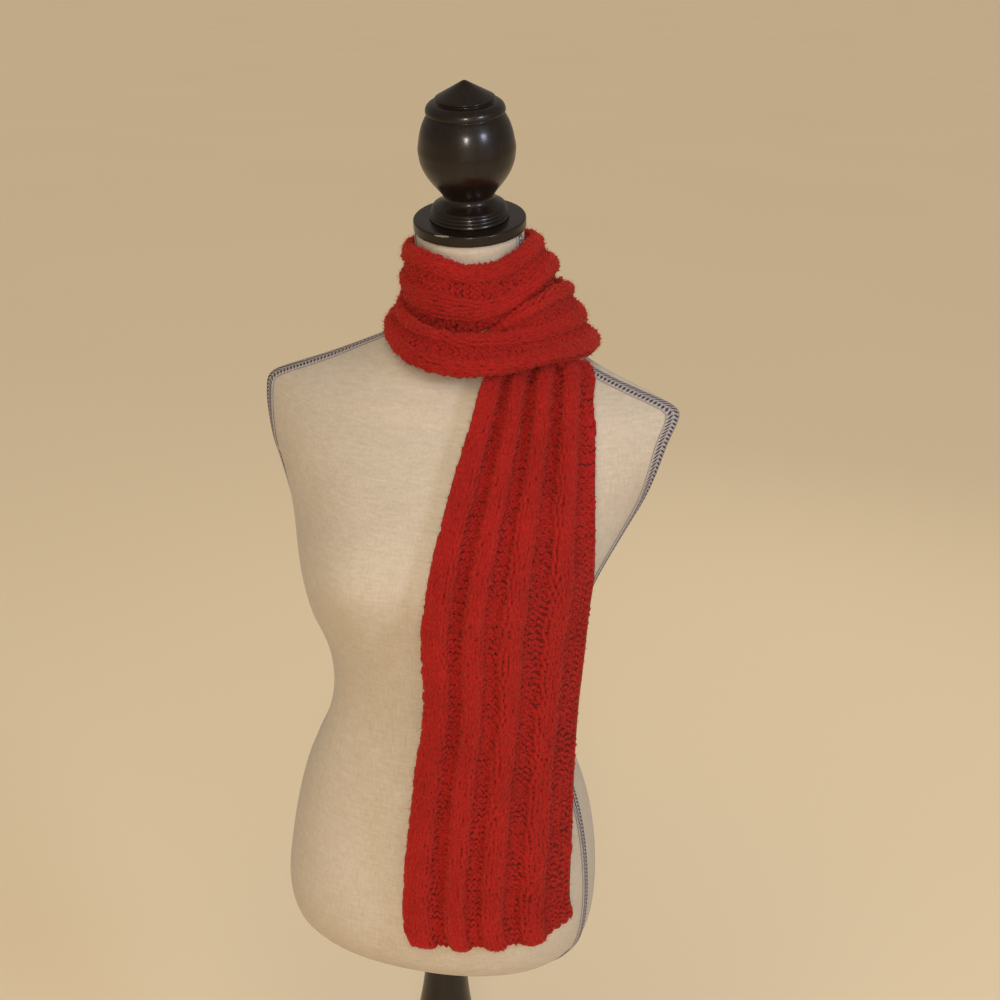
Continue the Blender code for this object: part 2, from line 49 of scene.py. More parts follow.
# ------------------------------------------------------------------ camera
CAMERA_PLACE = (0.3532, -1.2814, 1.5316)
CAMERA_TURN = 13.5             # degrees round towards the form's left
CAMERA_DOWN = 20.0             # degrees below the horizon
CAMERA_ROLL = 1.4
CAMERA_LENS = 54.79            # mm
SENSOR_WIDTH = 36              # mm

camera = bpy.data.objects.new("camera", bpy.data.cameras.new("camera"))
camera.data.sensor_width = SENSOR_WIDTH
camera.data.lens = CAMERA_LENS
camera.matrix_world = (Matrix.Translation(CAMERA_PLACE)
                       @ Matrix.Rotation(math.radians(CAMERA_TURN), 4, "Z")
                       @ Matrix.Rotation(math.radians(90 - CAMERA_DOWN), 4, "X")
                       @ Matrix.Rotation(math.radians(CAMERA_ROLL), 4, "Z"))
bpy.context.scene.collection.objects.link(camera)
bpy.context.scene.camera = camera

# ------------------------------------------------------------------ stand and form
PLATE_HEIGHT = 1300            # where the neck's axis crosses the neck plate, above the floor
PLATE_BACK = 46.5              # the same place behind the post's axis
NECK_TILT = math.radians(12)
# A painted highlight along the plate's front edge, a pale line in the lacquer's colour: its middle
# and half its size each way (m), how ragged its edge is, and how far it reaches before that.
PAINTED_HIGHLIGHT_PLACE = (-0.0131, -0.0018, 1.2917)
PAINTED_HIGHLIGHT_HALF = (0.012, 0.006, 0.0011)
PAINTED_HIGHLIGHT_RAGGED = 1.6
PAINTED_HIGHLIGHT_EDGE = 1.45
TURN_STEPS = 112               # facets round a turned piece
PROFILE_STEPS = 5              # steps between two points of a turned profile

# Turned profiles, top to bottom.
Turn = namedtuple("Turn", "radius height")
FINIAL_PROFILE = [
    Turn(0.0, 126.0), Turn(2.5, 125.0), Turn(14.0, 118.2), Turn(26.3, 111.0), Turn(25.8, 108.5),
    Turn(30.5, 107.0), Turn(34.0, 104.0), Turn(35.2, 100.5), Turn(34.9, 98.8), Turn(33.2, 98.0),
    Turn(35.4, 94.5), Turn(38.6, 88.2), Turn(41.2, 80.0), Turn(43.2, 69.0), Turn(43.4, 65.0),
    Turn(42.0, 55.0), Turn(38.5, 46.0), Turn(33.5, 38.0), Turn(28.0, 31.0), Turn(24.2, 26.0),
    Turn(23.5, 22.5), Turn(25.0, 19.5), Turn(29.0, 16.5), Turn(32.2, 14.6), Turn(33.2, 13.2),
    Turn(32.8, 12.4), Turn(33.8, 11.6), Turn(34.4, 10.0), Turn(33.9, 9.2), Turn(34.8, 8.4),
    Turn(35.2, 6.8), Turn(34.7, 6.0), Turn(35.5, 5.2), Turn(35.8, 3.0), Turn(0.0, 3.0),
]
PLATE_PROFILE = [
    Turn(0.0, 2.7), Turn(49.5, 2.7), Turn(50.7, 1.9), Turn(51.0, 0.5), Turn(51.0, -5.3),
    Turn(50.6, -6.7), Turn(49.5, -7.3), Turn(0.0, -7.3),
]
POST_PROFILE = [
    Turn(0.0, 580.7), Turn(19.5, 580.7), Turn(20.0, 580.2), Turn(20.4, 550.0), Turn(21.6, 528.0),
    Turn(24.0, 505.0),
    Turn(27.0, 485.0), Turn(31.5, 460.0), Turn(34.0, 435.0), Turn(34.0, 405.0), Turn(31.0, 370.0),
    Turn(26.5, 330.0), Turn(22.5, 290.0), Turn(20.0, 250.0), Turn(19.0, 215.0), Turn(19.5, 190.0),
    Turn(23.0, 184.0), Turn(26.5, 178.0), Turn(26.5, 170.0), Turn(23.0, 164.0), Turn(21.5, 156.0),
    Turn(23.5, 120.0), Turn(28.5, 80.0), Turn(32.0, 62.0), Turn(38.0, 56.0), Turn(40.0, 48.0),
    Turn(40.0, 31.3), Turn(39.0, 30.3), Turn(0.0, 30.3),
]
BASE_PROFILE = [
    Turn(0.0, 30.0), Turn(72.0, 30.0), Turn(78.0, 28.5), Turn(92.0, 24.0), Turn(115.0, 20.5),
    Turn(138.0, 19.0), Turn(147.0, 17.0), Turn(153.0, 13.0), Turn(155.0, 8.0), Turn(154.0, 3.0),
    Turn(150.0, 0.0), Turn(0.0, 0.0),
]

# Rings of the body, neck to hem. Depths run forward and back from centre_y; power 2 is an ellipse
# and more is boxier; edge 2 is round at the side seams and less comes to a sharp line; tilt leans
# the ring's plane forward.
Ring = namedtuple("Ring", "height centre_y half_width front back power edge tilt")
TORSO_RINGS = [
    Ring(1292.5, 48.0, 49.0, 49.0, 49.0, 2.0, 2.0, 12),
    Ring(1266.0, 53.5, 49.0, 49.0, 49.0, 2.0, 2.0, 12),
    Ring(1240.0, 58.5, 49.5, 50.0, 50.0, 2.0, 2.0, 12),
    Ring(1218.0, 61.0, 52.5, 53.0, 54.0, 2.0, 2.0, 11),
    Ring(1203.0, 61.0, 60.0, 57.0, 60.0, 2.0, 2.0, 8),
    Ring(1190.0, 58.0, 78.0, 59.0, 66.0, 2.1, 1.9, 5),
    Ring(1177.0, 55.0, 108.0, 64.0, 72.0, 2.1, 1.6, 2),
    Ring(1164.0, 53.0, 140.0, 71.0, 78.0, 2.1, 1.35, 0),
    Ring(1153.0, 53.0, 169.0, 80.0, 81.0, 2.1, 1.2, 0),
    Ring(1144.0, 53.0, 190.0, 88.0, 81.0, 2.1, 1.1, 0),
    Ring(1137.0, 51.0, 198.0, 91.0, 82.0, 2.1, 1.1, 0),
    Ring(1129.0, 45.0, 198.5, 90.0, 88.0, 2.1, 1.1, 0),
    Ring(1112.0, 31.0, 192.5, 91.0, 99.0, 2.15, 1.1, 0),
    Ring(1085.0, 25.0, 185.0, 107.0, 101.0, 2.2, 1.15, 0),
    Ring(1060.0, 26.0, 176.0, 126.0, 95.0, 2.2, 1.25, 0),
    Ring(1030.0, 15.0, 160.5, 131.0, 100.0, 2.2, 1.45, 0),
    Ring(1000.0, -9.0, 145.0, 115.0, 113.0, 2.2, 1.7, 0),
    Ring(975.0, -21.0, 135.5, 101.0, 115.0, 2.2, 1.9, 0),
    Ring(945.0, -24.0, 127.0, 91.0, 108.0, 2.15, 2.0, 0),
    Ring(915.0, -24.0, 112.5, 84.0, 99.0, 2.1, 2.1, 0),
    Ring(885.0, -24.0, 106.0, 79.0, 93.0, 2.1, 2.1, 0),
    Ring(855.0, -23.0, 107.0, 78.0, 90.0, 2.1, 2.1, 0),
    Ring(825.0, -21.0, 115.0, 83.0, 91.0, 2.1, 2.1, 0),
    Ring(785.0, -18.0, 132.5, 94.0, 99.0, 2.1, 2.1, 0),
    Ring(745.0, -16.0, 143.5, 104.0, 112.0, 2.15, 2.15, 0),
    Ring(700.0, -16.0, 150.5, 115.0, 119.0, 2.2, 2.2, 0),
    Ring(660.0, -21.0, 153.0, 115.0, 122.0, 2.2, 2.2, 0),
    Ring(628.0, -21.0, 149.5, 108.0, 117.0, 2.2, 2.2, 0),
    Ring(609.0, -20.0, 140.0, 96.0, 108.0, 2.2, 2.2, 0),
    Ring(595.0, -18.0, 126.0, 80.0, 93.0, 2.2, 2.2, 0),
    Ring(585.0, -15.0, 104.0, 60.0, 73.0, 2.2, 2.2, 0),
    Ring(581.0, -12.0, 80.0, 42.0, 54.0, 2.2, 2.2, 0),
]
RING_STEPS = 4                 # rings made between two rows of the table
BODY_STEPS = 128               # points round the body
BUST_RISE = 13
BUST_SIDE = 68
BUST_HEIGHT = 1003
BUST_SPREAD = 46
BUST_FADE = 40                 # the mounds fade out within this depth of the side seams

TAPE_WIDTH = 9.5
TAPE_UNDER = 0.5
TAPE_THICK = 1.1
TAPE_ROUNDING = 0.4            # the tape's edges are this much thinner than its middle
TAPE_ACROSS = 7                # points across the tape
PLATE_CLEAR = 0.6              # the tape starts this far below the neck's top edge
TAPE_STOP = 2                  # and stops this many rows of the ring table before the hem
# Chain loops woven into the tape, in two rows.
BRAID_PITCH = 3.9              # mm from one loop to the next
BRAID_ROW = 2.1                # mm from the tape's middle to the middle of a row
BRAID_SLANT = 0.9              # a loop leans this far along the tape for each mm outwards
BRAID_FADE = 0.75              # how fast a loop thins out beside the middle of its row
BRAID_FRAY = 1.2               # how ragged its edge is
# Seam tape at some heights: how far its middle lies in front of each ring's middle at the form's
# left side and at its right, and how much of the body's depth it covers.
Seam = namedtuple("Seam", "height left right breadth")
SEAM = [
    Seam(1300, 11, 11, 9.5), Seam(1203, 8, 8, 9.5), Seam(1177, 12, 12, 11), Seam(1164, 13, 13, 13),
    Seam(1153, 12, 12, 14), Seam(1144, 9, 9, 14), Seam(1137, 6, 6, 12), Seam(1112, 6, 6, 11),
    Seam(1085, 7, 7, 11), Seam(1060, 9, 8.5, 10.5), Seam(1030, 11, 8, 10), Seam(1000, 12.5, 5, 9.5),
    Seam(975, 14, 2, 9.5), Seam(945, 14, 0, 9.5), Seam(885, 15, -2, 9.5), Seam(785, 20, -8, 9.5),
    Seam(700, 26, 2, 9.5), Seam(560, 30, 6, 9.5),
]

# ------------------------------------------------------------------ scarf
WALL = 1.0                     # the core behind the loops, coloured darker than the yarn as painted shade between them
RIB_RISE = 3.6                 # ridge tops and valley floors from the middle of the cloth
INNER_PULL = -1.8              # round the neck the ribs are pulled flatter, by this much
OUTER_PULL = -1.0
RIB_ROUNDING = 0.35            # stitches over which a rib's shoulders are rounded
SEAT = 4.0                     # least stand-off of the cloth's middle from the body
SAG = 0.8                      # the front tail's middle lies at least this much further off
# The rib across the strip as (stitch, height): +1 on the knit ridges, -1 in the purl valleys.
RIB = [
    (0.0, 1), (3.5, 1), (4.5, -1), (6.5, -1), (7.5, 1), (9.5, 1), (10.5, -1), (12.5, -1),
    (13.5, 1), (15.5, 1), (16.5, -1), (18.5, -1), (19.5, 1), (21.5, 1), (22.5, -1), (26.0, -1),
]
KNIT_STITCHES = [range(0, 4), range(7, 10), range(13, 16), range(19, 22)]
STITCHES = 26
FINE_ROWS = 12                 # fine steps between two sections
FINE_PLACES = 16               # fine steps between two points of a section
SHELL_ROWS = 3                 # the core's mesh takes every third row
SHELL_PLACES = 2               # and every second place across

# Front tail, hem to top: where its edges are at each height, how deep it is gathered and how much
# higher its right edge is than its left one.
FRONT_POINTS = 7
HEM_CURL = 8                   # the hem's second corner curls up this far
CURL_START = 0.7               # from here on across the hem
CURL_FADE = 30                 # and up to this height above it
DRAPE_LEVELS = np.arange(1185, 640, -15)    # heights where the tail may touch the body
FAR_AHEAD = -1000              # a place well in front of the form
Hang = namedtuple("Hang", "height left right gather rise")
FRONT_TAIL = [
    Hang(661, 8, 143, 0.6, 0), Hang(675, 2, 142, 0.8, 0), Hang(700, -0.5, 141, 0.8, 0),
    Hang(750, 1.5, 142, 0.8, 0), Hang(795, 5.5, 141, 0.8, 0), Hang(840, 9.5, 140.5, 0.8, 0),
    Hang(885, 15.5, 141, 0.8, 0), Hang(930, 16.0, 143, 0.8, 0), Hang(970, 14.0, 144.5, 0.8, 0),
    Hang(1005, 17.0, 144.5, 0.8, 0), Hang(1045, 20.5, 142.5, 0.8, 0), Hang(1080, 24, 141, 1.2, 0),
    Hang(1110, 27.5, 138, 1.6, 0), Hang(1135, 31, 133.5, 2.2, 0), Hang(1154, 33, 127, 2.2, 2),
    Hang(1167, 34.5, 121, 1.0, 5), Hang(1175, 36.5, 115, 0.0, 6), Hang(1180, 41, 106, -0.4, 6),
]

# Turns round the neck. A row is one section across the strip, top edge first: six points, each
# its radius from the neck's axis and its drop below the plate. Angle 0 is the front and 90 the
# form's left shoulder. The stitches tell which wale of the strip each point is on.
Turn6 = namedtuple("Turn6", "angle r0 d0 r1 d1 r2 d2 r3 d3 r4 d4 r5 d5")
INNER_STITCHES = (0, 2, 5.5, 8.5, 12.5, 14.5)
INNER_WRAP = [
    Turn6(-165, 55.5, 33, 56, 38, 56.5, 46, 57, 54, 57, 62, 55.5, 65),
    Turn6(-135, 55.5, 30, 56, 35, 57, 44, 57.5, 53, 57.5, 62, 55.5, 65),
    Turn6(-105, 55.5, 26, 56.5, 32, 58, 42, 59, 52, 59, 61, 56, 65),
    Turn6(-75, 55.5, 22, 57.5, 28, 60, 40, 61, 53, 60.5, 63, 56.5, 64),
    Turn6(-45, 55.5, 17, 57.5, 18, 60.5, 38, 63, 56, 65, 74, 57, 68),
    Turn6(-15, 55.5, 20, 57.5, 20, 62, 38, 66, 56, 66.5, 85, 59, 76),
    Turn6(15, 55.5, 26, 57.5, 27, 63, 43, 68, 59, 69.5, 80, 60, 72),
    Turn6(45, 55.5, 25, 58, 25, 65, 40, 71.5, 55, 74, 62, 64, 64),
    Turn6(75, 55.5, 19, 59.5, 17, 66, 30, 75, 40, 77.5, 49, 68, 56),
    Turn6(105, 55.5, 19, 60, 22, 66, 33, 74.5, 43, 74, 56, 66, 60),
    Turn6(135, 56, 26, 60, 30, 65, 40, 71, 51, 71, 61, 65, 65),
]
OUTER_STITCHES = (7, 8.5, 14.5, 17.5, 20.5, 24)
OUTER_WRAP = [
    Turn6(-125, 61, 67, 62.5, 71, 65, 79, 69, 86, 73, 94, 71, 102),
    Turn6(-100, 58, 85, 60, 82, 64, 78, 68, 87, 73, 97, 71, 103),
    Turn6(-75, 58, 86, 60, 83, 64, 76, 70, 84, 76, 95, 74.5, 101),
    Turn6(-50, 62, 90, 64, 87, 70, 77, 76, 84, 83.5, 95, 82, 102),
    Turn6(-25, 64, 97, 67, 94, 77, 78, 84.5, 85, 92, 98, 89, 108),
    Turn6(0, 68, 99, 71, 95, 81, 80, 91, 88, 100, 100, 93, 112),
    Turn6(25, 62, 87, 73, 84, 86, 79, 97, 88, 108, 97, 109, 104),
    Turn6(50, 79, 64, 85, 59, 91, 81, 102, 87, 114, 93, 116, 100),
    Turn6(75, 82, 58, 88, 54, 98, 83, 106, 91, 117, 101, 120, 110),
    Turn6(100, 81, 70, 88, 67, 99, 90, 105, 104, 111, 117, 108, 127),
]
# Behind the neck the strip sinks from the inner turn to the outer one.
NAPE_PASS = [
    Turn6(160, 60, 33, 63, 38, 68, 46, 72, 56, 73, 66, 68, 71),
    Turn6(185, 66.5, 40, 67, 45, 70, 54, 73.5, 64, 75, 75, 71, 81),
    Turn6(210, 68, 48, 69, 54, 70.5, 62, 72, 72, 75, 84, 72, 92),
]
# Back tail: its two edges from the left shoulder, over the back, down to the hem; first is the
# stitch at the first edge and belly how far the middle stands back from the edges.
Edges = namedtuple("Edges", "first x0 y0 z0 x1 y1 z1 belly")
BACK_TAIL = [
    Edges(6, 64, 106, 1238, 84, 131, 1180, 2),
    Edges(4, 34, 137, 1230, 88, 147, 1146, 4),
    Edges(1, 0, 147, 1196, 84, 148, 1100, 3),
    Edges(0, -35, 147, 1145, 79, 147, 1052, 3),
    Edges(0, -58, 146, 1088, 77, 146, 1006, 3),
    Edges(0, -72, 144, 1020, 76, 144, 962, 3),
    Edges(0, -80, 142, 950, 76, 142, 918, 3),
    Edges(0, -84, 140, 880, 77, 140, 866, 3),
    Edges(0, -86, 138, 810, 77, 138, 806, 3),
    Edges(0, -87, 136, 745, 78, 136, 746, 3),
    Edges(0, -85, 135, 712, 76, 135, 714, 3),
]

# The loops, as they are when the cloth lies flat.
STITCH_WIDTH = 6.5
ROW_HEIGHT = 6.1
STITCH_TURN = 0.125            # share of a stitch, at each side, over which the yarn changes face
YARN_RADIUS = 2.0
YARN_SWELL = 0.14              # hand-spun yarn is this much thicker and thinner by turns
SWELL_LENGTH = 9               # steps of yarn over which it changes
YARN_SIDES = 5
TAIL_VALLEY = 0.84             # share of its thickness that the yarn keeps in a tail's valleys
WRAP_VALLEY = 1.0              # and in those of the wraps, which are pulled open
LOOP_STEPS = 8                 # steps of yarn in one stitch
LOOP_LEAN = 0.2                # how far a loop's head is wider than its foot, in stitches
LOOP_REACH = 0.86              # half the height of a loop, in rows
LOOP_DEPTH = 1.35              # legs and heads stand this far off the cloth's middle
UNEVEN = 0.75                  # how far hand knitting strays, mm
HAIRS_A_STITCH = 38
PURL_HAIRS = 0.5               # the valleys are not rubbed, and keep this share of the fibres
HAIR_LENGTH = (1.5, 6.5)
HAIR_WIDTH = 0.3
HAIR_SUNK = 0.3                # a fibre starts this far inside the yarn
HAIR_STRAY = 1.1               # how far a fibre strays from straight out; most lie along the cloth
END_SLACK = 0.3                # the yarn may pass the cloth's ends by this share of a fine row
ROW_SLACK = 0.01               # a knitted row this near to a stretch's end, in fine rows, is at it
SEED = 7


# ------------------------------------------------------------------ materials
def colour(code):
    """The linear colour of an sRGB hex value."""
    parts = [int(code[i:i + 2], 16) / 255 for i in (1, 3, 5)]
    return [c / 12.92 if c <= 0.04045 else ((c + 0.055) / 1.055) ** 2.4 for c in parts] + [1.0]


def add_node(tree, kind, inputs, **settings):
    """Adds a node with its settings; an input is a value or the output of another node."""
    item = tree.nodes.new("ShaderNode" + kind)
    for name, value in settings.items():
        setattr(item, name, value)
    for name, value in inputs.items():
        if isinstance(value, bpy.types.NodeSocket):
            tree.links.new(value, item.inputs[name])
        else:
            item.inputs[name].default_value = value
    return item


def work_out(tree, operation, *values):
    """The output of one step of arithmetic on values or outputs."""
    return add_node(tree, "Math", dict(enumerate(values)), operation=operation).outputs[0]


def noise(tree, place, scale, detail):
    """A cloudy tone from 0 to 1, with `scale` clouds to each unit of the place."""
    inputs = {"Vector": place, "Scale": scale, "Detail": detail}
    return add_node(tree, "TexNoise", inputs).outputs["Fac"]


def stretched(tree, place, scale):
    """The place, scaled along each axis."""
    return add_node(tree, "Mapping", {"Vector": place, "Scale": scale}).outputs[0]


def two_tone(tree, tone, low, first, high, second):
    """A colour that runs from the first, where the tone is low, to the second."""
    ramp = add_node(tree, "ValToRGB", {"Fac": tone})
    for element, position, code in zip(ramp.color_ramp.elements, (low, high), (first, second)):
        element.position = position
        element.color = colour(code)
    return ramp.outputs["Color"]


def new_material(name, sockets):
    """A material, its node tree and its shader, with the shader's own sockets set."""
    material = bpy.data.materials.new(name)
    material.use_nodes = True
    shader = material.node_tree.nodes["Principled BSDF"]
    for socket, value in sockets.items():
        shader.inputs[socket].default_value = value
    return material, material.node_tree, shader


def dress(tree, shader, base, height, strength, depth):
    """Gives a shader its base colour and a relief, its depth in millimetres."""
    relief = add_node(tree, "Bump", {"Height": height, "Strength": strength,
                                     "Distance": depth * MM})
    tree.links.new(base, shader.inputs["Base Color"])
    tree.links.new(relief.outputs["Normal"], shader.inputs["Normal"])


def spun_wool(name, dark, light, bump):
    """Red wool, loosely spun and fuzzy: a soft matt with a light bloom where it turns away."""
    material, tree, shader = new_material(name, {
        "Roughness": 0.85, "IOR": 1.54, "Specular IOR Level": 0.25,
        "Sheen Weight": 0.35, "Sheen Roughness": 0.45, "Sheen Tint": colour("#ff7a5c"),
    })
    place = add_node(tree, "TexCoord", {}).outputs["Object"]
    # Fibres about 1 mm across, clumps of 3 mm where the twist opens, and dye that varies over
    # 40 mm.
    tone = 0.0
    for scale, detail, share in ((900.0, 3.0, 0.4), (330.0, 2.0, 0.4), (25.0, 1.0, 0.2)):
        tone = work_out(tree, "MULTIPLY_ADD", noise(tree, place, scale, detail), share, tone)
    dress(tree, shader, two_tone(tree, tone, 0.36, dark, 0.64, light), tone, bump, 1.2)
    return material


def natural_linen():
    """Undyed linen, plain woven and stretched over the body: matt, with slubs in both threads.
    Its threads are 0.6 mm apart, and are drawn 2 mm apart so that they show."""
    material, tree, shader = new_material("natural_linen", {
        "Roughness": 0.9, "IOR": 1.5, "Specular IOR Level": 0.2,
        "Sheen Weight": 0.12, "Sheen Roughness": 0.5,
    })
    place = add_node(tree, "TexCoord", {}).outputs["Object"]
    warp = noise(tree, stretched(tree, place, (500, 500, 80)), 1.0, 2.0)
    weft = noise(tree, stretched(tree, place, (80, 80, 500)), 1.0, 2.0)
    threads = work_out(tree, "ADD", warp, weft)
    # Paler and darker areas, about 70 mm across, count half as much as a thread.
    tone = work_out(tree, "MULTIPLY_ADD", noise(tree, place, 14.0, 2.0), 0.5, threads)
    tone = work_out(tree, "MULTIPLY", tone, 0.5)
    dress(tree, shader, two_tone(tree, tone, 0.45, "#aaa091", 0.8, "#b9afa1"), tone, 0.2, 0.3)
    return material


def chain_braid():
    """Woven seam tape, pale grey with two rows of black slanting chain loops, one each side of
    its middle. Its map is in millimetres."""
    material, tree, shader = new_material("chain_braid", {
        "Roughness": 0.8, "IOR": 1.5, "Specular IOR Level": 0.3,
    })
    place = add_node(tree, "UVMap", {}, uv_map="tape").outputs[0]
    across, along = add_node(tree, "SeparateXYZ", {0: place}).outputs[:2]
    side = work_out(tree, "ABSOLUTE", work_out(tree, "SUBTRACT", across, TAPE_WIDTH / 2))
    slant = work_out(tree, "MULTIPLY_ADD", side, BRAID_SLANT, along)
    wave = work_out(tree, "SINE", work_out(tree, "MULTIPLY", slant, 2 * math.pi / BRAID_PITCH))
    reach = work_out(tree, "ABSOLUTE", work_out(tree, "SUBTRACT", side, BRAID_ROW))
    mark = work_out(tree, "MULTIPLY_ADD", reach, -BRAID_FADE, wave)
    mark = work_out(tree, "MULTIPLY_ADD", noise(tree, place, 1.4, 2.0), BRAID_FRAY, mark)
    dress(tree, shader, two_tone(tree, mark, 0.0, "#989294", 0.22, "#38363c"), mark, 0.5, 0.4)
    return material


def lacquered_wood():
    """Turned hardwood under dark brown lacquer: nearly black, glossy, with sharp small lights
    that the brushed coat breaks up a little."""
    material, tree, shader = new_material("lacquered_turned_wood", {
        "IOR": 1.5, "Roughness": 0.4, "Specular IOR Level": 0.2, "Coat Weight": 0.45,
        "Coat Roughness": 0.2, "Coat IOR": 1.5,
    })
    place = add_node(tree, "TexCoord", {}).outputs["Object"]
    # Grain runs up the piece, 3 mm wide and about 60 mm long.
    grain = noise(tree, stretched(tree, place, (330, 330, 16)), 1.0, 4.0)
    lacquer = two_tone(tree, grain, 0.3, "#0e0805", 0.75, "#1a100a")
    # The brushed coat's ripple also makes the painted highlight's edge ragged.
    ripple = noise(tree, place, 700.0, 2.0)
    reach = add_node(tree, "VectorMath", {0: place, 1: PAINTED_HIGHLIGHT_PLACE}, operation="SUBTRACT")
    reach = add_node(tree, "VectorMath", {0: reach.outputs[0], 1: PAINTED_HIGHLIGHT_HALF}, operation="DIVIDE")
    reach = add_node(tree, "VectorMath", {0: reach.outputs[0]}, operation="LENGTH")
    reach = work_out(tree, "MULTIPLY_ADD", ripple, PAINTED_HIGHLIGHT_RAGGED, reach.outputs["Value"])
    painted_highlight = work_out(tree, "LESS_THAN", reach, PAINTED_HIGHLIGHT_EDGE)
    # The pale colour mixed in here is a painted highlight on the plate's front edge.
    base = add_node(tree, "Mix", {0: painted_highlight, 6: lacquer, 7: colour("#7d7167")}, data_type="RGBA")
    dress(tree, shader, base.outputs[2], ripple, 0.5, 0.3)
    return material


def pale_floor():
    """Cream painted floor, matt and plain."""
    material, tree, shader = new_material("pale_floor_paint", {"Roughness": 0.9})
    place = add_node(tree, "TexCoord", {}).outputs["Object"]
    paint = two_tone(tree, noise(tree, place, 0.6, 1.0), 0.0, "#e4d5b9", 1.0, "#e7d9be")
    tree.links.new(paint, shader.inputs["Base Color"])
    return material


# ------------------------------------------------------------------ shapes
def smooth_curve(points, samples):
    """Catmull-Rom curve through rows of numbers, with `samples` steps in each span."""
    points = np.asarray(points, float)
    padded = np.vstack([2 * points[:1] - points[1:2], points, 2 * points[-1:] - points[-2:-1]])
    before, start, end, after = (padded[i:len(padded) - 3 + i] for i in range(4))
    rows = []
    for t in np.arange(samples) / samples:
        rows.append(0.5 * (2 * start + (end - before) * t
                           + (2 * before - 5 * start + 4 * end - after) * t ** 2
                           + (3 * start - before - 3 * end + after) * t ** 3))
    curve = np.stack(rows, axis=1).reshape(-1, *points.shape[1:])
    return np.concatenate([curve, points[-1:]])


def finish_piece(name, points, faces, material, nodes=()):
    """Makes a mesh piece of metres and puts it on the body, in place of its CAD nodes."""
    mesh = bpy.data.meshes.new(name)
    mesh.from_pydata(points, [], faces)
    mesh.shade_smooth()
    mesh.materials.append(material)
    piece = bpy.data.objects.new(name, mesh)
    bpy.context.scene.collection.objects.link(piece)
    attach(piece, "root")
    if nodes:
        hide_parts(*nodes)
    return piece


def grid_faces(rows, width, closed=False):
    """Quads of a grid of points; a closed one joins its last column to its first."""
    start = np.arange(rows - 1)[:, None] * width
    left = np.arange(width if closed else width - 1)[None, :]
    right = (left + 1) % width
    quads = np.stack([start + left, start + right, start + width + right, start + width + left],
                     axis=-1)
    return quads.reshape(-1, 4)


def make_turned(name, profile, place, material, node):
    """A turned piece: its half profile, softly curved between its points, swept round Z."""
    points = np.array(profile, float)
    chords = np.linalg.norm(np.diff(points, axis=0), axis=1)
    slopes = np.zeros_like(points)
    slopes[1:-1] = points[2:] - points[:-2]
    slopes[1:-1] /= np.linalg.norm(slopes[1:-1], axis=1, keepdims=True)
    slopes[1:-1] *= np.minimum(chords[1:], chords[:-1])[:, None]
    curve = []
    for i in range(len(points) - 1):
        for t in np.arange(PROFILE_STEPS) / PROFILE_STEPS:
            curve.append(points[i] * (1 + 2 * t) * (1 - t) ** 2 + slopes[i] * t * (1 - t) ** 2
                         + points[i + 1] * t * t * (3 - 2 * t) - slopes[i + 1] * t * t * (1 - t))
    radius, height = np.array(curve[1:]).T
    turn = np.arange(TURN_STEPS) * 2 * math.pi / TURN_STEPS
    ring = np.stack([radius[:, None] * np.cos(turn), radius[:, None] * np.sin(turn),
                     height[:, None] + 0 * turn], axis=-1).reshape(-1, 3)
    poles = [(0, 0, points[0][1]), (0, 0, points[-1][1])]
    faces = [tuple(quad[::-1]) for quad in grid_faces(len(radius), TURN_STEPS, closed=True)]
    last = (len(radius) - 1) * TURN_STEPS
    for i in range(TURN_STEPS):
        after = (i + 1) % TURN_STEPS
        faces.append((i, after, len(ring)))
        faces.append((last + after, last + i, len(ring) + 1))
    points = np.vstack([ring, poles]) * MM
    points = points @ np.array(place.to_3x3()).T + np.array(place.translation)
    return finish_piece(name, points, faces, material, [node])


def body_rings():
    """The body's rings, with those between the rows of the table."""
    return [Ring(*row) for row in smooth_curve(TORSO_RINGS, RING_STEPS)]


def body_point(ring, angle):
    """Points of the body on one ring (mm); angle 0 is +X and 90 degrees the back."""
    side = np.sign(np.cos(angle)) * np.abs(np.cos(angle)) ** (2 / ring.power) * ring.half_width
    depth = np.where(np.sin(angle) > 0, ring.back, ring.front)
    reach = np.sign(np.sin(angle)) * np.abs(np.sin(angle)) ** (2 / ring.edge) * depth
    spread = (np.abs(side) - BUST_SIDE) ** 2 + (ring.height - BUST_HEIGHT) ** 2
    mound = BUST_RISE * np.exp(-spread / BUST_SPREAD ** 2)
    reach = np.where(reach < 0, reach - mound * np.minimum(1, -reach / BUST_FADE), reach)
    lean = math.radians(ring.tilt)
    return np.stack([side, ring.centre_y + reach * math.cos(lean),
                     ring.height + reach * math.sin(lean)], axis=-1)


def make_body(material):
    """The padded body: rings from the neck to the hem, closed flat at both ends."""
    angles = np.arange(BODY_STEPS) * 2 * math.pi / BODY_STEPS
    rings = [body_point(ring, angles) for ring in body_rings()]
    points = np.concatenate(rings) * MM
    faces = [tuple(quad[::-1]) for quad in grid_faces(len(rings), BODY_STEPS, closed=True)]
    faces.append(tuple(range(BODY_STEPS)))
    faces.append(tuple(reversed(range(len(points) - BODY_STEPS, len(points)))))
    return finish_piece("linen_body", points, faces, material, ["form_torso"])


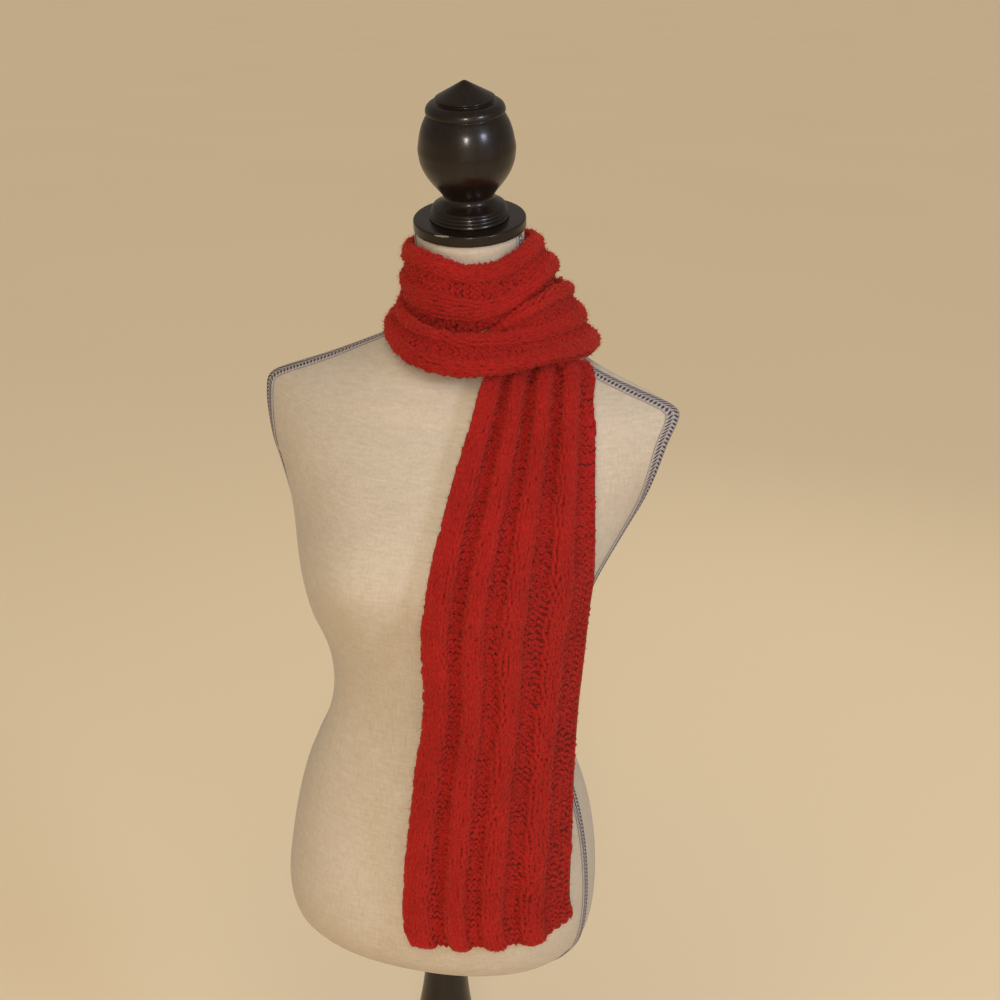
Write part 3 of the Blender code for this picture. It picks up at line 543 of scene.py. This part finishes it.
def make_tape(name, side, material, node):
    """Seam tape from the plate to the hem, laid on the body's own points and moved out."""
    heights, lefts, rights, breadths = zip(*reversed(SEAM))
    rows = []
    for ring in body_rings()[:-TAPE_STOP * RING_STEPS]:
        row = []
        for part in np.linspace(side, -side, TAPE_ACROSS) / 2:
            forward = np.interp(ring.height, heights, lefts if side > 0 else rights)
            forward += part * np.interp(ring.height, heights, breadths)
            depth = ring.front if forward > 0 else ring.back
            angle = math.asin(min(1.0, abs(forward) / depth) ** (ring.edge / 2))
            angle = -math.copysign(angle, forward)
            row.append(body_point(ring, angle if side > 0 else math.pi - angle))
        rows.append(row)
    grid = np.array(rows)[::-1]
    grid[-1, :, 2] -= PLATE_CLEAR
    across = np.linspace(-1, 1, TAPE_ACROSS)
    over = TAPE_THICK - TAPE_ROUNDING * across ** 4
    piece = make_shell(name, grid, grid_normals(grid), TAPE_UNDER, TAPE_UNDER + over[None, :, None],
                       material, [node])
    along = np.linalg.norm(np.diff(grid[:, TAPE_ACROSS // 2], axis=0), axis=1)
    along = np.concatenate([[0], np.cumsum(along)])
    measure = np.stack(np.broadcast_arrays((across + 1) * TAPE_WIDTH / 2, along[:, None]), -1)
    measure = np.concatenate([measure, measure]).reshape(-1, 2)
    corners = np.zeros(len(piece.data.loops), int)
    piece.data.loops.foreach_get("vertex_index", corners)
    chart = piece.data.uv_layers.new(name="tape")
    chart.data.foreach_set("uv", measure[corners].reshape(-1))
    return piece


# ------------------------------------------------------------------ cloth
def grid_normals(grid):
    """Unit normals of a grid of points, out of the face that shows."""
    normals = np.cross(np.gradient(grid, axis=1), np.gradient(grid, axis=0))
    return normals / np.linalg.norm(normals, axis=2, keepdims=True)


def make_shell(name, grid, normals, under, over, material, nodes):
    """A closed sheet between two offsets (mm) of a grid along its normals."""
    rows, width = grid.shape[:2]
    points = np.concatenate([grid + normals * over, grid + normals * under]).reshape(-1, 3)
    below = rows * width
    top = grid_faces(rows, width)
    faces = [tuple(quad) for quad in np.concatenate([top, top[:, ::-1] + below])]
    rim = list(range(width))
    rim += [i * width + width - 1 for i in range(1, rows)]
    rim += [below - 2 - j for j in range(width - 1)]
    rim += [i * width for i in range(rows - 2, 0, -1)]
    faces += [(end, start, start + below, end + below)
              for start, end in zip(rim, rim[1:] + rim[:1])]
    return finish_piece(name, points * MM, faces, material, nodes)


def rib_height(stitches):
    """The rib's rise at some stitches, with rounded shoulders."""
    keys, signs = zip(*RIB)
    soft = [np.interp(stitches + shift * RIB_ROUNDING, keys, signs) for shift in (-1, 0, 1)]
    return (soft[0] + 2 * soft[1] + soft[2]) / 4


def lift(place, body, least):
    """The place, moved straight out of the body where it is nearer than the least distance."""
    spot, normal = body.find_nearest(place)[:2]
    if (place - spot).dot(normal) < least:
        return spot + normal * least
    return place


Cloth = namedtuple("Cloth", "points normals stitches")


def weave(sections, stitches, gathers, body):
    """The middle of a strip as fine rows of points, ribbed and clear of the body (all in mm)."""
    sections = np.array(sections, float)
    rows = smooth_curve(sections, FINE_ROWS)
    grid = smooth_curve(rows.swapaxes(0, 1), FINE_PLACES).swapaxes(0, 1)
    marks = smooth_curve(stitches, FINE_ROWS)
    spots = np.arange(grid.shape[1]) / FINE_PLACES
    marks = np.array([np.interp(spots, np.arange(sections.shape[1]), mark) for mark in marks])
    rise = RIB_RISE + smooth_curve(np.array(gathers, float)[:, None], FINE_ROWS)
    grid = grid + grid_normals(grid) * (rib_height(marks) * rise)[:, :, None]
    settled = [lift(Vector(point * MM), body, SEAT * MM) for point in grid.reshape(-1, 3)]
    grid = np.array(settled).reshape(grid.shape) / MM
    return Cloth(grid, grid_normals(grid), marks)


def neck_point(angle, radius, drop):
    """A point round the neck, with the neck's own lean."""
    turn = math.radians(angle)
    lean = Matrix.Rotation(NECK_TILT, 3, "X")
    place = Vector((radius * math.sin(turn), -radius * math.cos(turn), -drop))
    return lean @ place + Vector((0.0, PLATE_BACK, PLATE_HEIGHT))


def turn_section(row):
    """The points of one section of a turn round the neck."""
    return [neck_point(row.angle, radius, drop) for radius, drop in zip(row[1::2], row[2::2])]


def hull_depths(profile):
    """Forward-most line that hangs over a profile: straight between the points it touches."""
    touched = []
    for point in sorted(profile, reverse=True):
        while len(touched) > 1:
            (h1, d1), (h2, d2) = touched[-2:]
            if (d2 - d1) * (point[0] - h1) - (point[1] - d1) * (h2 - h1) > 0:
                break
            touched.pop()
        touched.append(point)
    return touched


def drape(x, height, body):
    """Depth of the cloth that hangs in front of the body."""
    hits = []
    for level in DRAPE_LEVELS:
        spot = body.ray_cast(Vector((x, FAR_AHEAD, level)) * MM, Vector((0, 1, 0)))[0]
        if spot is not None:
            hits.append((level, spot.y / MM))
    levels, depths = zip(*reversed(hull_depths(hits)))
    return float(np.interp(height, levels, depths))


def front_cloth(body):
    """The front tail, hung over the body, with its hem's corner curled up."""
    sections = []
    for row in FRONT_TAIL:
        stand_off = RIB_RISE + row.gather + SEAT
        section = []
        for part in np.linspace(0, 1, FRONT_POINTS):
            x = row.left + (row.right - row.left) * part
            near = max(0.0, 1 - (row.height - FRONT_TAIL[0].height) / CURL_FADE)
            curl = HEM_CURL * near * max(0.0, (part - CURL_START) / (1 - CURL_START)) ** 2
            height = row.height + row.rise * part + curl
            place = Vector((x, drape(x, height, body) - stand_off, height)) * MM
            section.append(lift(place, body, (stand_off + SAG) * MM) / MM)
        sections.append(section)
    spread = np.linspace(0, STITCHES, FRONT_POINTS)
    return weave(sections, [spread] * len(sections), [row.gather for row in FRONT_TAIL], body)


def back_sections():
    """The back tail's sections and the stitches of their points."""
    spread = np.array(OUTER_STITCHES, float)
    spread = (spread - spread[0]) / (spread[-1] - spread[0])
    sections = []
    stitches = []
    for row in BACK_TAIL:
        first = Vector((row.x0, row.y0, row.z0))
        last = Vector((row.x1, row.y1, row.z1))
        belly = [Vector((0, row.belly * math.sin(math.pi * part), 0)) for part in spread]
        sections.append([first.lerp(last, float(part)) + out for part, out in zip(spread, belly)])
        stitches.append(row.first + spread * (STITCHES - row.first))
    return sections, stitches


# ------------------------------------------------------------------ knitting
def loop_sides():
    """Which face each stitch shows: +1 knit, -1 purl, as keys along the strip's width."""
    knits = {stitch for group in KNIT_STITCHES for stitch in group}
    keys = [stitch + part for stitch in range(STITCHES) for part in (STITCH_TURN, 1 - STITCH_TURN)]
    return keys, [1 if int(key) in knits else -1 for key in keys]


def even_rows(cloth):
    """Fine-row number at the start of each knitted row, for rows of the yarn's own height."""
    steps = np.linalg.norm(np.diff(cloth.points, axis=0), axis=2).mean(axis=1)
    along = np.concatenate([[0], np.cumsum(steps)])
    count = round(along[-1] / ROW_HEIGHT)
    return np.interp(np.linspace(0, along[-1], count + 1), along, np.arange(len(along)))


def on_cloth(cloth, rows, stitches, depth):
    """Points off the cloth's middle at fine-row numbers and stitches, and their normals."""
    low = np.clip(rows.astype(int), 0, len(cloth.points) - 2)
    places = np.empty((2, len(rows)))
    for shift in (0, 1):
        for line in np.unique(low):
            chosen = low == line
            marks = cloth.stitches[line + shift]
            places[shift, chosen] = np.interp(stitches[chosen], marks, np.arange(len(marks)))
    found = []
    for grid in (cloth.points, cloth.normals):
        ends = []
        for shift in (0, 1):
            left = np.clip(places[shift].astype(int), 0, grid.shape[1] - 2)
            part = (places[shift] - left)[:, None]
            ends.append(grid[low + shift, left] * (1 - part) + grid[low + shift, left + 1] * part)
        part = (rows - low)[:, None]
        found.append(ends[0] * (1 - part) + ends[1] * part)
    points, normals = found
    normals = normals / np.linalg.norm(normals, axis=1, keepdims=True)
    return points + normals * depth[:, None], normals


def knit_path(cloth, starts, first, last, dice):
    """The yarn's path through knitted rows first to last, to and fro as it was knitted, with its
    normals and the face that each of its points shows."""
    keys, sides = loop_sides()
    turn = np.linspace(-math.pi, math.pi, LOOP_STEPS + 1)[:-1]
    numbers = np.arange(len(starts))
    fine = np.arange(len(cloth.stitches))
    rows, stitches, depths, facing = [], [], [], []
    for row in range(first, last):
        middle = np.interp(row + 0.5, numbers, starts)
        low = np.interp(middle, fine, cloth.stitches[:, 0])
        high = np.interp(middle, fine, cloth.stitches[:, -1])
        wales = np.arange(math.ceil(low - 0.5), math.floor(high + 0.5))
        sway = dice.normal(0, UNEVEN, (3, len(wales), 1))
        across = wales[:, None] + 0.5 + turn / (2 * math.pi)
        side = np.interp(across, keys, sides)
        across = across + LOOP_LEAN * np.sin(2 * turn) + sway[0] / STITCH_WIDTH
        up = row + 0.5 + (LOOP_REACH + sway[1] / ROW_HEIGHT) * np.cos(turn)
        depth = -side * (LOOP_DEPTH + sway[2]) * np.cos(2 * turn)
        order = slice(None) if row % 2 == 0 else slice(None, None, -1)
        rows.append(up.reshape(-1)[order])
        stitches.append(np.clip(across.reshape(-1), low, high)[order])
        depths.append(depth.reshape(-1)[order])
        facing.append(side.reshape(-1)[order])
    rows = np.concatenate(rows)
    spare = np.concatenate([[2 * starts[0] - starts[1]], starts, [2 * starts[-1] - starts[-2]]])
    rows = np.interp(rows, np.arange(-1, len(starts) + 1), spare)
    rows = np.clip(rows, -END_SLACK, len(cloth.points) - 1 + END_SLACK)
    path, normals = on_cloth(cloth, rows, np.concatenate(stitches), np.concatenate(depths))
    return path, normals, np.concatenate(facing)


def make_yarn(name, path, normals, thickness, material, dice):
    """A tube of yarn along its path, closed at both ends."""
    ahead = np.gradient(path, axis=0)
    ahead /= np.linalg.norm(ahead, axis=1, keepdims=True)
    side = np.cross(ahead, normals)
    side /= np.linalg.norm(side, axis=1, keepdims=True)
    out = np.cross(side, ahead)
    knots = dice.uniform(-YARN_SWELL, YARN_SWELL, len(path) // SWELL_LENGTH + 2)
    swell = np.interp(np.arange(len(path)) / SWELL_LENGTH, np.arange(len(knots)), knots)
    thick = YARN_RADIUS * thickness * (1 + swell)
    around = np.arange(YARN_SIDES) * 2 * math.pi / YARN_SIDES + math.pi / 2
    rings = (side[:, None] * np.cos(around)[:, None] + out[:, None] * np.sin(around)[:, None])
    points = path[:, None] + rings * thick[:, None, None]
    faces = [tuple(quad) for quad in grid_faces(len(path), YARN_SIDES, closed=True)]
    faces.append(tuple(reversed(range(YARN_SIDES))))
    faces.append(tuple(range((len(path) - 1) * YARN_SIDES, len(path) * YARN_SIDES)))
    piece = finish_piece(name, points.reshape(-1, 3) * MM, faces, material)
    return piece, points, rings


def make_fuzz(name, points, rings, facing, material, dice):
    """Loose fibres: thin slips that stand out of the yarn in all directions."""
    count = round(len(points) / LOOP_STEPS * HAIRS_A_STITCH)
    share = np.interp(facing, (-1, 1), (PURL_HAIRS, 1))
    spot = dice.choice(len(points), count, p=share / share.sum())
    face = dice.integers(0, YARN_SIDES, count)
    root = points[spot, face] - rings[spot, face] * HAIR_SUNK
    grow = rings[spot, face] + dice.normal(0, HAIR_STRAY, (count, 3))
    grow /= np.linalg.norm(grow, axis=1, keepdims=True)
    length = dice.uniform(*HAIR_LENGTH, (count, 1))
    side = np.cross(grow, dice.standard_normal((count, 3)))
    side *= HAIR_WIDTH / 2 / np.linalg.norm(side, axis=1, keepdims=True)
    corners = np.stack([root - side, root + side, root + grow * length], axis=1).reshape(-1, 3)
    return finish_piece(name, corners * MM, np.arange(3 * count).reshape(-1, 3), material)


def make_knit(name, cloth, span, node, valley, parts, dice):
    """One stretch of the scarf: its core, dark as painted shade, and its yarn in parts with their
    loose fibres.
    """
    starts = even_rows(cloth)
    low, high = span
    shell = (slice(low + 1, high, SHELL_ROWS), slice(None, None, SHELL_PLACES))
    core = make_shell(f"{name}_core", cloth.points[shell], cloth.normals[shell], -WALL / 2,
                      WALL / 2, shade_dark_wool_core, [node])
    first, last = np.searchsorted(starts[:-1], [low - ROW_SLACK, high - ROW_SLACK])
    cuts = np.linspace(first, last, parts + 1).astype(int)
    pieces = []
    for number, (start, stop) in enumerate(zip(cuts, cuts[1:]), 1):
        path, normals, facing = knit_path(cloth, starts, start, stop, dice)
        thickness = np.interp(facing, (-1, 1), (valley, 1))
        yarn, points, rings = make_yarn(f"{name}_yarn_{number}", path, normals, thickness,
                                        wool_yarn, dice)
        fuzz = make_fuzz(f"{name}_fuzz_{number}", points, rings, facing, lit_wool_fuzz, dice)
        pieces += [yarn, fuzz]


# ------------------------------------------------------------------ build
linen = natural_linen()
braid = chain_braid()
wood = lacquered_wood()
wool_yarn = spun_wool("spun_wool_yarn", "#7a0e0b", "#9b1813", 0.6)
# The loose fibres are coloured lighter than the yarn: painted light for the pale glow round the
# fuzzy edges.
lit_wool_fuzz = spun_wool("loose_wool_fibre_painted_light", "#921711", "#b42d22", 0.0)
# The core is coloured darker than the yarn: painted shade in the gaps between and behind the loops.
shade_dark_wool_core = spun_wool("painted_shade_wool_core", "#4a0906", "#640e09", 0.6)

neck = (Matrix.Translation(Vector((0, PLATE_BACK, PLATE_HEIGHT)) * MM)
        @ Matrix.Rotation(NECK_TILT, 4, "X"))
upright = Matrix.Identity(4)
make_turned("finial", FINIAL_PROFILE, neck, wood, "form_finial")
make_turned("neck_plate", PLATE_PROFILE, neck, wood, "form_neck_plate")
make_turned("post", POST_PROFILE, upright, wood, "form_post")
make_turned("round_base", BASE_PROFILE, upright, wood, "form_base")
torso = make_body(linen)
make_tape("seam_tape_left", 1, braid, "form_tape_left")
make_tape("seam_tape_right", -1, braid, "form_tape_right")

body = BVHTree.FromObject(torso, bpy.context.evaluated_depsgraph_get())
dice = np.random.default_rng(SEED)
tail = front_cloth(body)
make_knit("front_tail", tail, (0, len(tail.points)), "scarf_front_tail",
          TAIL_VALLEY, 2, dice)

turns = INNER_WRAP + NAPE_PASS + OUTER_WRAP
strip = [turn_section(row) for row in turns]
nape_stitches = np.linspace(INNER_STITCHES, OUTER_STITCHES, len(NAPE_PASS) + 2)[1:-1]
marks = [INNER_STITCHES] * len(INNER_WRAP) + list(nape_stitches)
marks += [OUTER_STITCHES] * len(OUTER_WRAP)
tail_sections, tail_stitches = back_sections()
strip += tail_sections
marks += tail_stitches
pulls = [INNER_PULL] * len(INNER_WRAP)
pulls += list(np.linspace(INNER_PULL, OUTER_PULL, len(NAPE_PASS) + 2)[1:-1])
pulls += [OUTER_PULL] * len(OUTER_WRAP) + [0.0] * len(BACK_TAIL)
wound = weave(strip, marks, pulls, body)
ends = np.cumsum([0, len(INNER_WRAP) - 1, len(NAPE_PASS) + 1, len(OUTER_WRAP) - 1, len(BACK_TAIL)])
spans = [(int(low) * FINE_ROWS, int(high) * FINE_ROWS + 1) for low, high in zip(ends, ends[1:])]
make_knit("inner_wrap", wound, spans[0], "scarf_inner_wrap", WRAP_VALLEY, 1, dice)
make_knit("nape_pass", wound, spans[1], "scarf_nape_pass", WRAP_VALLEY, 1, dice)
make_knit("outer_wrap", wound, spans[2], "scarf_outer_wrap", WRAP_VALLEY, 1, dice)
make_knit("back_tail", wound, spans[3], "scarf_back_tail", TAIL_VALLEY, 2, dice)

# ------------------------------------------------------------------ floor and light
FLOOR_RADIUS = 70              # m
FLOOR_SIDES = 64
floor_mesh = bpy.data.meshes.new("floor")
rim = [(FLOOR_RADIUS * math.cos(a), FLOOR_RADIUS * math.sin(a), 0)
       for a in np.arange(FLOOR_SIDES) * 2 * math.pi / FLOOR_SIDES]
floor_mesh.from_pydata(rim, [], [tuple(range(FLOOR_SIDES))])
floor_mesh.materials.append(pale_floor())
floor = bpy.data.objects.new("floor", floor_mesh)
bpy.context.scene.collection.objects.link(floor)


def add_lamp(name, kind, power, place, tint, spot, **settings):
    """A lamp that faces the form's chest; without a spot it leaves none of its own on lacquer."""
    light = bpy.data.lights.new(name, kind)
    light.energy = power
    light.color = colour(tint)[:3]
    for setting, value in settings.items():
        setattr(light, setting, value)
    holder = bpy.data.objects.new(name, light)
    holder.location = place
    holder.rotation_euler = (CHEST - holder.location).to_track_quat("-Z", "Y").to_euler()
    holder.visible_glossy = spot
    bpy.context.scene.collection.objects.link(holder)


CHEST = Vector((0, 0, 1.05))
add_lamp("skylight", "SUN", 1.65, (0.2, -2.0, 3.4), "#ffedd4", False, angle=math.radians(50))
add_lamp("window_side", "AREA", 20, (2.0, -1.25, 2.0), "#dfeaff", True, shape="DISK", size=0.5)
add_lamp("camera_lamp", "AREA", 10, (0.42, -1.62, 1.62), "#fff4e4", True, shape="DISK", size=0.14)
add_lamp("floor_glow", "AREA", 5, (0.0, -1.6, 0.4), "#ffd3a0", False, shape="DISK", size=0.5)
add_lamp("back_fill", "AREA", 10, (0.4, 2.6, 2.2), "#fff4e6", False, shape="DISK", size=2.0)

world = bpy.data.worlds.new("studio")
world.use_nodes = True
world.node_tree.nodes["Background"].inputs["Color"].default_value = colour("#fff3e4")
world.node_tree.nodes["Background"].inputs["Strength"].default_value = 0.3
bpy.context.scene.world = world
bpy.context.scene.view_settings.view_transform = "Standard"
